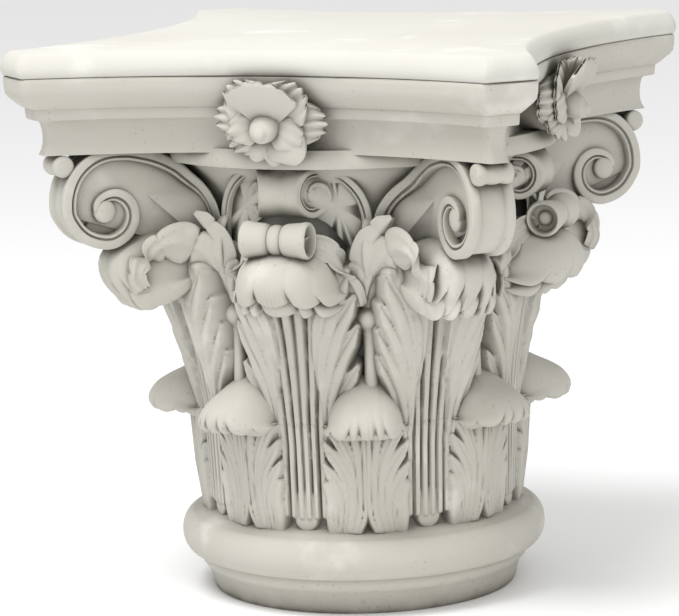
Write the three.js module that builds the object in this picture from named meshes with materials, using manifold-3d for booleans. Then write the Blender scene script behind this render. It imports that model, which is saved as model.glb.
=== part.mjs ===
// A corinthian capital cast in one piece, with a separate flat top plate.
// Millimetres, +Z up, origin at the centre of the round underside, front face towards -Y.
import * as THREE from "three";
import { mergeVertices } from "three/addons/utils/BufferGeometryUtils.js";
import Module from "manifold-3d";

// Heights of the main mouldings, from the underside up
const BASE_TOP = 57;
const BELL_LIP_LOW = 317;
const BELL_LIP_TOP = 330;
const NECK_LOW = 328;
const FILLET_LOW = 353;
const OVOLO_LOW = 361;
const SEAM = 383;
const TOP = 400;
const SEAM_GAP = 0.3;

// Radii of the round parts
const BASE_RADIUS = 110;
const TORUS_RADIUS = 132;
const BELL_RADIUS = 106;
const LIP_RADIUS = 147;
const ROUND_SIDES = 26;
const ROLL_SIDES = 7;
const STALK_SIDES = 5;

// The abacus outline: reach along the diagonal, half width of its cut corner, reach at mid face
const SEAM_OUTLINE = { reach: 254.3, corner: 20, middle: 155.7 };
const ARC_STEPS = 6;

// Layout round the axis, in degrees from the middle of the front face
const FACES = [0, 90, 180, 270];
const CORNERS = [45, 135, 225, 315];
const LOWER_LEAVES = [0, 1, 2, 3, 4, 5, 6, 7].map((k) => 22.5 + 45 * k);
const STALK_FROM_FACE = 25;

const stone = new THREE.MeshStandardMaterial({ color: 0xc8c5bb, roughness: 0.85, metalness: 0 });
const plate = new THREE.MeshStandardMaterial({ color: 0xd2cfc4, roughness: 0.8, metalness: 0 });

const wasm = await Module();
wasm.setup();

// Signed volume of an indexed triangle mesh: negative when its faces point inwards
function signedVolume(position, index) {
  const a = new THREE.Vector3();
  const b = new THREE.Vector3();
  const c = new THREE.Vector3();
  let volume = 0;
  for (let i = 0; i < index.length; i += 3) {
    a.fromBufferAttribute(position, index[i]);
    b.fromBufferAttribute(position, index[i + 1]);
    c.fromBufferAttribute(position, index[i + 2]);
    volume += a.dot(b.cross(c)) / 6;
  }
  return volume;
}

// A closed geometry as a solid that can be joined and cut; mirrored bends are turned face out
function solid(geometry) {
  const bare = geometry.clone();
  bare.deleteAttribute("normal");
  bare.deleteAttribute("uv");
  const merged = mergeVertices(bare, 1e-3);
  const position = merged.attributes.position;
  const triVerts = new Uint32Array(merged.index.array);
  if (signedVolume(position, triVerts) < 0) {
    triVerts.reverse();
  }
  const vertProperties = new Float32Array(position.array);
  return new wasm.Manifold(new wasm.Mesh({ numProp: 3, vertProperties, triVerts }));
}

function joined(solids) {
  return solids.reduce((whole, next) => whole.add(next));
}

function meshOf(name, body, material) {
  const { vertProperties, triVerts } = body.getMesh();
  const geometry = new THREE.BufferGeometry();
  geometry.setAttribute("position", new THREE.BufferAttribute(vertProperties, 3));
  geometry.setIndex(new THREE.BufferAttribute(triVerts, 1));
  geometry.computeVertexNormals();
  const mesh = new THREE.Mesh(geometry, material);
  mesh.name = name;
  return mesh;
}

// Moves every corner of a geometry by a rule that writes into the vector it is given
function bend(geometry, rule) {
  const position = geometry.attributes.position;
  const p = new THREE.Vector3();
  for (let i = 0; i < position.count; i += 1) {
    p.fromBufferAttribute(position, i);
    rule(p);
    position.setXYZ(i, p.x, p.y, p.z);
  }
  return geometry;
}

// A solid built facing the front (out = -Y, across = +X), turned to an angle round the axis
function turned(geometry, degrees) {
  return solid(geometry.clone().rotateZ(THREE.MathUtils.degToRad(degrees)));
}

function around(geometry, angles) {
  return joined(angles.map((degrees) => turned(geometry, degrees)));
}

// Writes a place given as distance out from the axis, distance across, and height
function place(p, out, across, height) {
  p.set(across, -out, height);
}

function outlineCurve(points) {
  return new THREE.SplineCurve(points.map(([x, y]) => new THREE.Vector2(x, y)));
}

// ---- Base and bell -------------------------------------------------------------------------

function roundCore() {
  const profile = [
    [0, 0], [BASE_RADIUS, 0], [112, 10], [114, 15], [118, 19], [120, 26],
    [127, 30], [TORUS_RADIUS, 38], [TORUS_RADIUS, 45], [127, BASE_TOP - 4],
    [117, BASE_TOP], [BELL_RADIUS, 60], [BELL_RADIUS, 225], [116, 280],
    [130, BELL_LIP_LOW - 1], [LIP_RADIUS - 2, BELL_LIP_LOW], [LIP_RADIUS - 1, BELL_LIP_TOP],
    [0, BELL_LIP_TOP],
  ];
  const lathe = new THREE.LatheGeometry(
    profile.map(([r, z]) => new THREE.Vector2(r, z)),
    ROUND_SIDES,
  );
  return solid(lathe.rotateX(Math.PI / 2));
}

// ---- Abacus --------------------------------------------------------------------------------

// Four hollow arcs and four cut corners, walked round from the middle of the right face
function abacusOutline({ reach, corner, middle }) {
  const halfChord = (reach - corner) / Math.SQRT2;
  const chordOut = (reach + corner) / Math.SQRT2;
  const sag = chordOut - middle;
  const radius = (halfChord ** 2 + sag ** 2) / (2 * sag);
  const half = Math.asin(halfChord / radius);
  const points = [];
  for (let face = 0; face < 4; face += 1) {
    for (let i = 0; i <= ARC_STEPS; i += 1) {
      const angle = half * (2 * i / ARC_STEPS - 1);
      const point = new THREE.Vector2(middle + radius - radius * Math.cos(angle), radius * Math.sin(angle));
      points.push(point.rotateAround(new THREE.Vector2(), face * Math.PI / 2));
    }
  }
  return points;
}

// A drum whose rings of corners follow one abacus outline at each height
function mouldedSlab(levels) {
  const outlines = levels.map(abacusOutline);
  const sides = outlines[0].length;
  const drum = new THREE.CylinderGeometry(1, 1, levels.length - 1, sides, levels.length - 1);
  drum.rotateX(Math.PI / 2);
  return solid(bend(drum, (p) => {
    const level = Math.round(p.z + (levels.length - 1) / 2);
    if (Math.hypot(p.x, p.y) < 0.5) {
      p.set(0, 0, levels[level].z);
      return;
    }
    const turn = Math.atan2(p.y, p.x) / (2 * Math.PI);
    const corner = outlines[level][Math.round((turn + 1) * sides) % sides];
    p.set(corner.x, corner.y, levels[level].z);
  }));
}

// The seam outline drawn in or out along the diagonal, with the mid face set separately
function level(z, reachChange, middleChange, corner) {
  return {
    z,
    reach: SEAM_OUTLINE.reach + reachChange,
    corner,
    middle: SEAM_OUTLINE.middle + middleChange,
  };
}

function abacus() {
  return mouldedSlab([
    level(NECK_LOW, -19, -24, 7),
    level(336, -22, -26, 6),
    level(350, -20.5, -25, 6),
    level(FILLET_LOW, -13, -15, 12),
    level(OVOLO_LOW - 0.5, -12, -14, 12),
    level(365, -6, -8, 15),
    level(371, -0.5, -2, 19),
    level(SEAM - SEAM_GAP, 0, 0, 20),
  ]);
}

function topPlate() {
  return mouldedSlab([
    level(SEAM, 0, 0, 20),
    level(388, 1.7, 1.7, 20),
    level(395, 0, 0, 18),
    level(TOP - 1, -3, -3, 17),
    level(TOP, -4.5, -4.5, 16),
  ]);
}

// ---- Acanthus leaves -----------------------------------------------------------------------

const LEAF_COLUMNS = 6;

// A leaf laid against the bell. Each row along it, from its foot to its tip, gives the outer face
// and the inner face as [out, height], and half the width there: a wide row is a lobe and a
// narrow one the notch between two lobes. Ribs and hollows alternate across the body.
function leaf({ rows, fluteDepth, droop, wrap }) {
  const last = rows.length - 1;
  const block = new THREE.BoxGeometry(2, 1, last, LEAF_COLUMNS, 1, last);
  return bend(block, (p) => {
    const row = Math.round(p.z + last / 2);
    const column = Math.round((p.x + 1) * LEAF_COLUMNS / 2);
    const [face, back, halfWidth, flat] = rows[row];
    const isFace = p.y < 0;
    const profile = isFace ? face : back;
    const side = p.x * halfWidth;
    const rib = isFace && !flat ? fluteDepth * (column % 2 === 0 ? -1 : 1) : 0;
    const fall = flat ? droop * p.x * p.x : 0;
    place(p, profile[0] + rib - side * side / (2 * wrap), side, profile[1] - fall);
  });
}

// The short leaves of the lower ring
function lowerLeaf() {
  return leaf({
    rows: [
      [[114, 55], [98, 55], 30],
      [[119, 76], [98, 76], 34],
      [[120, 90], [98, 90], 28],
      [[121, 104], [98, 104], 34],
      [[123, 122], [98, 122], 30],
      [[130, 133], [104, 170], 27, true],
      [[145, 131], [134, 160], 30, true],
      [[153, 137], [151, 146], 20, true],
    ],
    fluteDepth: 1.8,
    droop: 14,
    wrap: 112,
  });
}

// The tall leaf under each pair of small scrolls
function faceLeaf() {
  return leaf({
    rows: [
      [[113, 55], [95, 55], 24],
      [[116, 140], [95, 140], 36],
      [[118, 162], [95, 162], 31],
      [[121, 184], [95, 184], 38],
      [[124, 202], [95, 202], 32],
      [[129, 220], [95, 225], 41],
      [[137, 231], [98, 264], 44, true],
      [[160, 227], [146, 262], 42, true],
      [[170, 236], [166, 247], 34, true],
    ],
    fluteDepth: 2,
    droop: 9,
    wrap: 110,
  });
}

// The tall leaf under each corner scroll, whose tip reaches far out and curls down
function cornerLeaf() {
  return leaf({
    rows: [
      [[113, 55], [95, 55], 24],
      [[117, 140], [95, 140], 36],
      [[121, 164], [95, 162], 31],
      [[126, 185], [95, 184], 39],
      [[131, 206], [95, 206], 33],
      [[138, 226], [95, 240], 43],
      [[150, 239], [112, 266], 41, true],
      [[162, 223], [184, 264], 33, true],
      [[178, 219], [196, 238], 28, true],
    ],
    fluteDepth: 2,
    droop: 4,
    wrap: 130,
  });
}

// ---- Scrolls -------------------------------------------------------------------------------

// The rolled face of a scroll is drawn flat, as distance along the face from its outermost edge
// and height, and then laid on a standing surface whose plan runs from the scroll back to its stem.
const FILL_SINK = 0.9;

const BIG_SCROLL = {
  plan: [[227, 16], [185, 16], [142, 16], [131, 22], [124, 34], [118, 46]],
  stem: [[122, 250], [120, 276], [105, 302], [79, 322.5]],
  eye: [31, 287.5],
  radii: [46, 37.7, 30.8, 27.2, 26.4, 27.4, 25.3, 19.8, 12],
  firstAngle: 105,
  stepAngle: 47,
  band: 7,
  recess: 7,
  webSteps: 5,
};

const SMALL_SCROLL = {
  plan: [[147, 14], [138, 18], [127, 25], [124, 36], [119, 47], [113, 57]],
  stem: [[58, 250], [58, 290], [42, 316]],
  eye: [17.5, 299.5],
  radii: [18.5, 18, 16.5, 15.5, 13.5, 7],
  firstAngle: 88,
  stepAngle: 52,
  band: 5,
  recess: 5,
  webSteps: 5,
};

function spiralPoint({ eye, firstAngle, stepAngle }, radius, step) {
  const angle = THREE.MathUtils.degToRad(firstAngle - stepAngle * step);
  return new THREE.Vector2(eye[0] - radius * Math.cos(angle), eye[1] + radius * Math.sin(angle));
}

// The outer edge of the band, up its stem and round into the eye
function rim(sizes) {
  const stem = sizes.stem.map(([along, height]) => new THREE.Vector2(along, height));
  const turns = sizes.radii.map((radius, step) => spiralPoint(sizes, radius, step));
  return [...stem, ...turns];
}

// The same line moved sideways, towards the inside of the roll
function inset(points, distance) {
  return points.map((point, i) => {
    const before = points[Math.max(i - 1, 0)];
    const after = points[Math.min(i + 1, points.length - 1)];
    const direction = after.clone().sub(before).normalize();
    return new THREE.Vector2(point.x - direction.y * distance, point.y + direction.x * distance);
  });
}

// Lays a flat drawing, extruded to both sides in two steps, on the scroll's standing surface and
// its mirror image. Between them it is filled, and the fill sinks into the bell where they part.
function layOnPlan(geometry, plan, recess) {
  const curve = outlineCurve(plan);
  const length = curve.getLength();
  const halfWidth = plan[0][1];
  return bend(geometry, (p) => {
    const u = THREE.MathUtils.clamp(p.x / length, 0, 1);
    const foot = curve.getPointAt(u);
    if (Math.abs(p.z) < 0.5) {
      place(p, foot.x - FILL_SINK * Math.max(foot.y - halfWidth, 0), 0, p.y);
      return;
    }
    const run = curve.getTangentAt(u);
    place(p, foot.x - run.y * recess, Math.sign(p.z) * (foot.y + run.x * recess), p.y);
  });
}

// A slab of the given outline, its two faces sunk below the scroll's faces
function slabOf(outline, plan, recess) {
  const shape = new THREE.Shape(outline);
  const slab = new THREE.ExtrudeGeometry(shape, { depth: 2, steps: 2, bevelEnabled: false });
  return layOnPlan(slab.translate(0, 0, -1), plan, recess);
}

// A scroll's raised band, which ends in a thick eye, and the sunk web that the band encloses
function scroll(sizes, angles) {
  const outer = rim(sizes);
  const inner = inset(outer, sizes.band);
  const web = inset(outer, sizes.band / 2).slice(0, sizes.stem.length + sizes.webSteps);
  const pieces = [
    slabOf([...outer, ...inner.reverse()], sizes.plan, 0),
    slabOf(web, sizes.plan, sizes.recess),
  ];
  return joined(pieces.map((piece) => around(piece, angles)));
}

// ---- Rolls and stalks --------------------------------------------------------------------

// A body turned about a line that lies across the front: profile gives [radius, across]
function lyingRoll(profile, out, height) {
  const body = new THREE.LatheGeometry(profile.map(([r, x]) => new THREE.Vector2(r, x)), ROLL_SIDES);
  body.rotateZ(Math.PI / 2);
  return body.translate(0, -out, height);
}

function cornerRoll() {
  return lyingRoll([[0, -14], [7.5, -13], [7.5, 13], [0, 14]], 223, 320);
}

function faceRoll() {
  const half = [[13, 19], [13, 9], [8, 4], [9.5, 0]];
  const otherHalf = half.slice(0, 3).reverse().map(([r, x]) => [r, -x]);
  return lyingRoll([[0, 24], ...half, ...otherHalf, [0, -24]], 149, 270.5);
}

// Upright stalk with a ball and a cup, from which the scrolls and leaves spring
function stalk() {
  const profile = [[0, 150], [6, 152], [5, 198], [10.5, 209], [7, 220], [15, 240], [14, 264], [0, 276]];
  const body = new THREE.LatheGeometry(profile.map(([r, z]) => new THREE.Vector2(r, z)), STALK_SIDES);
  body.rotateX(Math.PI / 2);
  return body.translate(0, -116, 0);
}

// ---- Fleuron -------------------------------------------------------------------------------

const FLOWER = { out: 150, height: 352, sides: 15, reach: 33, notch: 25, widen: 1.15, flatten: 0.85 };

// The flower on each face, as rings from its back to its middle: a dish of petals with notches
// between them, and a thick pistil that stands out of the dish
function flower() {
  const share = [0.7, 1, 0.9, 0.35];
  const rise = [-30, 10, 16, 4];
  const pistilTip = 26;
  const dish = new THREE.CylinderGeometry(1, 1, 3, FLOWER.sides, 3);
  return bend(dish, (p) => {
    const ring = Math.round(p.y + 1.5);
    const turn = Math.atan2(p.x, p.z);
    const step = Math.round(turn / (2 * Math.PI) * FLOWER.sides) + FLOWER.sides;
    const petalReach = step % 3 === 0 ? FLOWER.notch : FLOWER.reach;
    const isMiddle = Math.hypot(p.x, p.z) < 0.5;
    const reach = isMiddle ? 0 : petalReach * share[ring];
    const out = FLOWER.out + (isMiddle && ring > 0 ? pistilTip : rise[ring]);
    const height = FLOWER.height + FLOWER.flatten * reach * Math.cos(turn);
    place(p, out, FLOWER.widen * reach * Math.sin(turn), height);
  });
}

// ---- The whole capital ---------------------------------------------------------------------

function capital() {
  const stalkAngles = FACES.flatMap((face) => [face - STALK_FROM_FACE, face + STALK_FROM_FACE]);
  return joined([
    roundCore(),
    abacus(),
    around(lowerLeaf(), LOWER_LEAVES),
    around(faceLeaf(), FACES),
    around(cornerLeaf(), CORNERS),
    scroll(BIG_SCROLL, CORNERS),
    scroll(SMALL_SCROLL, FACES),
    around(stalk(), stalkAngles),
    around(cornerRoll(), CORNERS),
    around(faceRoll(), FACES),
    around(flower(), FACES),
  ]);
}

const object = new THREE.Group();
object.add(meshOf("capital", capital(), stone));
object.add(meshOf("top_plate", topPlate(), plate));

export default object;
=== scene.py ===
"""The look of a cast corinthian capital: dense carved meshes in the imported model's frame."""

import functools
import math

import bmesh
import bpy
import numpy as np
from mathutils import Matrix, Vector


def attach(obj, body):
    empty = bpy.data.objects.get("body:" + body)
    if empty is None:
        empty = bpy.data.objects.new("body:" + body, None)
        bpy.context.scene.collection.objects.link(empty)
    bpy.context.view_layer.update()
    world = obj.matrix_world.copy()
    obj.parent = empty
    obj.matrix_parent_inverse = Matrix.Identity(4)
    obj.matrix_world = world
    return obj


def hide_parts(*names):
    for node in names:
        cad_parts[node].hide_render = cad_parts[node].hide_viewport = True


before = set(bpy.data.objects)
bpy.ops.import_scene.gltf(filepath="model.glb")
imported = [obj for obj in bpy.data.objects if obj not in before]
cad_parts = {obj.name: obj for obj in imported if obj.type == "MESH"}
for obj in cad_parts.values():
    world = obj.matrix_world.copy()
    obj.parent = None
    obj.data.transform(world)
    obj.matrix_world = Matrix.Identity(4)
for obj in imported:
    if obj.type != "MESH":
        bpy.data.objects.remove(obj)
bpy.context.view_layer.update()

# Lengths below are millimetres in the capital's own frame; meshes are made in metres.
MM = 0.001

# Heights and radii shared with the solids
BELL_RADIUS = 106
NECK_LOW = 328
SEAM = 383
TOP = 400
SEAM_GAP = 0.3
SEAM_REACH = 254.3
SEAM_MIDDLE = 155.7
UNROLL_RADIUS = 118

# How a mesh is closed up, in metres, and the angle in degrees from which an edge stays sharp
MERGE_DISTANCE = 0.00002
SHORTEST_EDGE = 0.000005
EDGE_ANGLE = 48

# The layout round the axis, in degrees from the middle of the front face
FACE_START = 0
CORNER_START = 45
LOWER_LEAF_START = 22.5
STALK_ANGLE = 25


# ---- Curves --------------------------------------------------------------------------------

def smooth_curve(points, count, closed=False):
    """Points evenly spaced along a smooth curve through the given ones."""
    knots = np.array(points, float)
    if closed:
        padded = np.vstack([knots[-1], knots, knots[0], knots[1]])
    else:
        padded = np.vstack([2 * knots[0] - knots[1], knots, 2 * knots[-1] - knots[-2]])
    fine = []
    steps = np.linspace(0, 1, 24, endpoint=False)[:, None]
    for i in range(len(padded) - 3):
        a, b, c, d = padded[i:i + 4]
        fine.append(0.5 * (2 * b + (c - a) * steps + (2 * a - 5 * b + 4 * c - d) * steps ** 2
                           + (3 * b - a - 3 * c + d) * steps ** 3))
    line = np.vstack(fine + [padded[-2][None]])
    run = np.concatenate([[0], np.cumsum(np.linalg.norm(np.diff(line, axis=0), axis=1))])
    at = np.linspace(0, run[-1], count + 1 if closed else count)
    even = np.stack([np.interp(at, run, line[:, k]) for k in range(line.shape[1])], axis=1)
    return even[:-1] if closed else even


def tangents(line):
    """The unit direction of a line at each of its points."""
    along = np.gradient(line, axis=0)
    return along / np.maximum(np.linalg.norm(along, axis=1, keepdims=True), 1e-9)


def through(keys, at):
    """Values read off a line through [place, value] pairs."""
    keys = np.array(keys, float)
    return np.interp(at, keys[:, 0], keys[:, 1])


def ease(low, high, at):
    """0 up to one place, 1 from another, and a smooth change between them."""
    x = np.clip((at - low) / (high - low), 0, 1)
    return x * x * (3 - 2 * x)


def bulges(edges, at):
    """1 at the middle of each stretch between two edges, falling to 0 at the edges."""
    out = np.zeros_like(at)
    for low, high in zip(edges[:-1], edges[1:]):
        reach = (at - (low + high) / 2) / ((high - low) / 2)
        inside = np.abs(reach) <= 1
        out[inside] = np.sqrt(np.clip(1 - reach[inside] ** 2, 0, 1))
    return out


# ---- Meshes --------------------------------------------------------------------------------

def place(out, across, height):
    """Points facing the front, as distance out from the axis, across, and height."""
    out, across, height = np.broadcast_arrays(out, across, height)
    return np.stack([across, -out, height], axis=-1).astype(float)


def grid_faces(rows, columns, wrap_rows=False, wrap_columns=False):
    """Four-cornered faces over a grid of points, closed round its rows or columns where asked."""
    row_ids = np.arange(rows if wrap_rows else rows - 1)
    column_ids = np.arange(columns if wrap_columns else columns - 1)
    i, j = np.meshgrid(row_ids, column_ids, indexing="ij")
    i, j = i.ravel(), j.ravel()
    k, m = (i + 1) % rows, (j + 1) % columns
    corners = [i * columns + j, i * columns + m, k * columns + m, k * columns + j]
    return np.stack(corners, axis=1).tolist()


def body(name, parts):
    """One mesh from (points, faces) parts, closed up, facing outwards and smooth but at its edges."""
    mesh = bpy.data.meshes.new(name)
    points, faces, first = [], [], 0
    for part_points, part_faces in parts:
        flat = part_points.reshape(-1, 3)
        points.append(flat)
        faces.extend([[v + first for v in face] for face in part_faces])
        first += len(flat)
    mesh.from_pydata((np.vstack(points) * MM).tolist(), [], faces)
    work = bmesh.new()
    work.from_mesh(mesh)
    bmesh.ops.remove_doubles(work, verts=work.verts, dist=MERGE_DISTANCE)
    bmesh.ops.dissolve_degenerate(work, edges=work.edges, dist=SHORTEST_EDGE)
    bmesh.ops.recalc_face_normals(work, faces=work.faces)
    work.to_mesh(mesh)
    work.free()
    mesh.shade_smooth()
    mesh.set_sharp_from_angle(angle=math.radians(EDGE_ANGLE))
    return mesh


def tube(sections):
    """A closed body through closed sections, with each end drawn to its middle."""
    rows, columns = sections.shape[:2]
    faces = grid_faces(rows, columns, wrap_columns=True)
    ends = np.stack([sections[0].mean(axis=0), sections[-1].mean(axis=0)])
    first, last = rows * columns, rows * columns + 1
    for j in range(columns):
        m = (j + 1) % columns
        faces.append([first, m, j])
        faces.append([last, (rows - 1) * columns + j, (rows - 1) * columns + m])
    return np.vstack([sections.reshape(-1, 3), ends]), faces


def shell(front, back):
    """A closed sheet between two grids of the same size."""
    return tube(np.concatenate([front, back[:, ::-1]], axis=1))


def lathe(profile, turns, out=0.0, height=0.0, lying=False):
    """A turned body from [radius, place] pairs, upright or lying across the front."""
    angle = np.linspace(0, 2 * np.pi, turns, endpoint=False)
    radius, run = np.array(profile, float).T
    circles = radius[:, None, None] * np.stack([np.cos(angle), np.sin(angle)], axis=1)
    if lying:
        sections = place(out + circles[..., 0], run[:, None], height + circles[..., 1])
    else:
        sections = place(out + circles[..., 0], circles[..., 1], run[:, None] + height)
    return tube(sections)


def turned(part, degrees):
    points, faces = part
    a = math.radians(degrees)
    spin = np.array([[math.cos(a), -math.sin(a), 0], [math.sin(a), math.cos(a), 0], [0, 0, 1]])
    return points.reshape(-1, 3) @ spin.T, faces


def mirrored(part):
    points, faces = part
    return points.reshape(-1, 3) * [-1, 1, 1], [face[::-1] for face in faces]


def both_sides(*parts):
    """Each part followed by its mirror image."""
    return [half for part in parts for half in (part, mirrored(part))]


# ---- Stone ---------------------------------------------------------------------------------

def socket(group, name, kind, way, value=None):
    item = group.interface.new_socket(name, in_out=way, socket_type=kind)
    if value is not None:
        item.default_value = value
    return item


class NodeKit:
    """Short ways to add the nodes of the group that gives the stone its marks and its painted shade."""

    def __init__(self, tree):
        self.add = tree.nodes.new
        self.link = tree.links.new
        self.where = self.add("ShaderNodeTexCoord").outputs["Object"]

    def feed(self, slot, value):
        """Sets a plain value, or links another node's output."""
        if isinstance(value, (int, float, tuple)):
            slot.default_value = value
        else:
            self.link(value, slot)

    def noise(self, scale, detail):
        node = self.add("ShaderNodeTexNoise")
        node.inputs["Scale"].default_value = scale
        node.inputs["Detail"].default_value = detail
        node.inputs["Roughness"].default_value = 0.55
        self.link(self.where, node.inputs["Vector"])
        return node.outputs["Fac"]

    def spread(self, source, low, high, to_low=0.0, to_high=1.0):
        node = self.add("ShaderNodeMapRange")
        node.interpolation_type = "SMOOTHSTEP"
        ends = {"From Min": low, "From Max": high, "To Min": to_low, "To Max": to_high}
        for name, value in ends.items():
            node.inputs[name].default_value = value
        self.link(source, node.inputs["Value"])
        return node.outputs["Result"]

    def math(self, operation, a, b):
        node = self.add("ShaderNodeMath")
        node.operation = operation
        self.feed(node.inputs[0], a)
        self.feed(node.inputs[1], b)
        return node.outputs["Value"]

    def blend(self, kind, amount, a, b):
        node = self.add("ShaderNodeMix")
        node.data_type = "RGBA"
        node.blend_type = kind
        self.feed(node.inputs[0], amount)
        self.feed(node.inputs[6], a)
        self.feed(node.inputs[7], b)
        return node.outputs[2]

    def hollows(self):
        """Painted shade: nearness of other stone, which grows in the hollows of the carving."""
        node = self.add("ShaderNodeAmbientOcclusion")
        node.samples = 8
        node.inputs["Distance"].default_value = 0.02
        return self.spread(node.outputs["AO"], 0.95, 0.25)

    def pits(self):
        """Small round casting pits, only in some patches."""
        node = self.add("ShaderNodeTexVoronoi")
        node.inputs["Scale"].default_value = 210
        self.link(self.where, node.inputs["Vector"])
        patches = self.spread(self.noise(26, 2), 0.5, 0.62)
        return self.math("MULTIPLY", self.spread(node.outputs["Distance"], 0.22, 0.12), patches)


SMUDGE = (0.93, 0.92, 0.89, 1)
PALE_PATCH = (0.78, 0.77, 0.73, 1)


def wear_and_shade_group():
    """Colour, roughness and fine height of cast stone: painted shade in hollows, smudges, pits, grain."""
    group = bpy.data.node_groups.new("cast stone wear", "ShaderNodeTree")
    socket(group, "Stone", "NodeSocketColor", "INPUT", (0.6, 0.6, 0.55, 1))
    # The second colour and its amount paint shade into the hollows of the carving.
    socket(group, "Painted Shade", "NodeSocketColor", "INPUT", (0.3, 0.28, 0.24, 1))
    socket(group, "Painted Shade Amount", "NodeSocketFloat", "INPUT", 0.6)
    socket(group, "Pit Amount", "NodeSocketFloat", "INPUT", 0.5)
    socket(group, "Color", "NodeSocketColor", "OUTPUT")
    socket(group, "Roughness", "NodeSocketFloat", "OUTPUT")
    socket(group, "Height", "NodeSocketFloat", "OUTPUT")
    kit = NodeKit(group)
    given, result = kit.add("NodeGroupInput"), kit.add("NodeGroupOutput")

    patchy = kit.spread(kit.noise(38, 4), 0.3, 0.7, 0.75, 1.15)
    # Painted shade: the colour goes towards the shade colour in the hollows, in patches; the pits are made
    # darker too.
    painted_shade = kit.math("MULTIPLY", kit.math("MULTIPLY", kit.hollows(), patchy), given.outputs["Painted Shade Amount"])
    pitted = kit.math("MULTIPLY", kit.pits(), given.outputs["Pit Amount"])
    dark = kit.math("MINIMUM", kit.math("ADD", painted_shade, kit.math("MULTIPLY", pitted, 0.35)), 1.0)

    smudges = kit.spread(kit.noise(7, 5), 0.35, 0.68, 0.0, 0.55)
    cloudy = kit.blend("MULTIPLY", smudges, given.outputs["Stone"], SMUDGE)
    patches = kit.spread(kit.noise(19, 3), 0.56, 0.74, 0.0, 0.35)
    pale = kit.blend("MIX", patches, cloudy, PALE_PATCH)
    kit.link(kit.blend("MIX", dark, pale, given.outputs["Painted Shade"]), result.inputs["Color"])
    kit.link(kit.spread(kit.noise(60, 3), 0.3, 0.7, 0.78, 0.92), result.inputs["Roughness"])

    grain = kit.math("MULTIPLY", kit.noise(900, 3), 0.12)
    swell = kit.math("MULTIPLY", kit.noise(110, 3), 0.4)
    raised = kit.math("SUBTRACT", kit.math("ADD", grain, swell), pitted)
    kit.link(raised, result.inputs["Height"])
    return group


def stone_material(name, group, stone, painted_shade, painted_shade_amount, pit_amount):
    material = bpy.data.materials.new(name)
    material.use_nodes = True
    nodes, link = material.node_tree.nodes, material.node_tree.links.new
    shader = nodes["Principled BSDF"]
    shader.inputs["Specular IOR Level"].default_value = 0.35
    # The group paints shade into the hollows along with the stone's marks.
    wear_and_shade = nodes.new("ShaderNodeGroup")
    wear_and_shade.node_tree = group
    wear_and_shade.inputs["Stone"].default_value = stone
    wear_and_shade.inputs["Painted Shade"].default_value = painted_shade
    wear_and_shade.inputs["Painted Shade Amount"].default_value = painted_shade_amount
    wear_and_shade.inputs["Pit Amount"].default_value = pit_amount
    bump = nodes.new("ShaderNodeBump")
    bump.inputs["Strength"].default_value = 0.35
    bump.inputs["Distance"].default_value = 0.0006
    link(wear_and_shade.outputs["Color"], shader.inputs["Base Color"])
    link(wear_and_shade.outputs["Roughness"], shader.inputs["Roughness"])
    link(wear_and_shade.outputs["Height"], bump.inputs["Height"])
    link(bump.outputs["Normal"], shader.inputs["Normal"])
    return material


WEAR_AND_SHADE = wear_and_shade_group()
# After each stone colour come the colour and amount of the painted shade in the hollows, then the pits.
CAST_STONE = stone_material("cast stone", WEAR_AND_SHADE, (0.49, 0.476, 0.428, 1), (0.15, 0.138, 0.114, 1), 0.95, 0.6)
PLATE_STONE = stone_material("plate stone", WEAR_AND_SHADE, (0.57, 0.56, 0.515, 1), (0.28, 0.262, 0.225, 1), 0.4, 0.35)


# ---- Repeating round the axis --------------------------------------------------------------

def ring_tree():
    """Geometry nodes that set copies of a carving round the axis, joined into one mesh."""
    tree = bpy.data.node_groups.new("ring of carvings", "GeometryNodeTree")
    socket(tree, "Carving", "NodeSocketGeometry", "INPUT")
    sockets = {
        "Copies": socket(tree, "Copies", "NodeSocketInt", "INPUT", 4),
        "First Angle": socket(tree, "First Angle", "NodeSocketFloat", "INPUT", 0.0),
        "Finish": socket(tree, "Finish", "NodeSocketMaterial", "INPUT"),
    }
    socket(tree, "Ring", "NodeSocketGeometry", "OUTPUT")
    add, link = tree.nodes.new, tree.links.new
    given, result = add("NodeGroupInput"), add("NodeGroupOutput")
    points, index = add("GeometryNodePoints"), add("GeometryNodeInputIndex")
    step, angle = add("ShaderNodeMath"), add("ShaderNodeMath")
    step.operation = "DIVIDE"
    step.inputs[0].default_value = 2 * math.pi
    angle.operation = "MULTIPLY_ADD"
    turn, copies = add("ShaderNodeCombineXYZ"), add("GeometryNodeInstanceOnPoints")
    realize, finish = add("GeometryNodeRealizeInstances"), add("GeometryNodeSetMaterial")
    link(given.outputs["Copies"], points.inputs["Count"])
    link(given.outputs["Copies"], step.inputs[1])
    link(index.outputs["Index"], angle.inputs[0])
    link(step.outputs[0], angle.inputs[1])
    link(given.outputs["First Angle"], angle.inputs[2])
    link(angle.outputs[0], turn.inputs["Z"])
    link(points.outputs[0], copies.inputs["Points"])
    link(given.outputs["Carving"], copies.inputs["Instance"])
    link(turn.outputs[0], copies.inputs["Rotation"])
    link(copies.outputs[0], realize.inputs[0])
    link(realize.outputs[0], finish.inputs["Geometry"])
    link(given.outputs["Finish"], finish.inputs["Material"])
    link(finish.outputs[0], result.inputs["Ring"])
    return tree, {name: item.identifier for name, item in sockets.items()}


RING, RING_SOCKETS = ring_tree()


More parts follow.
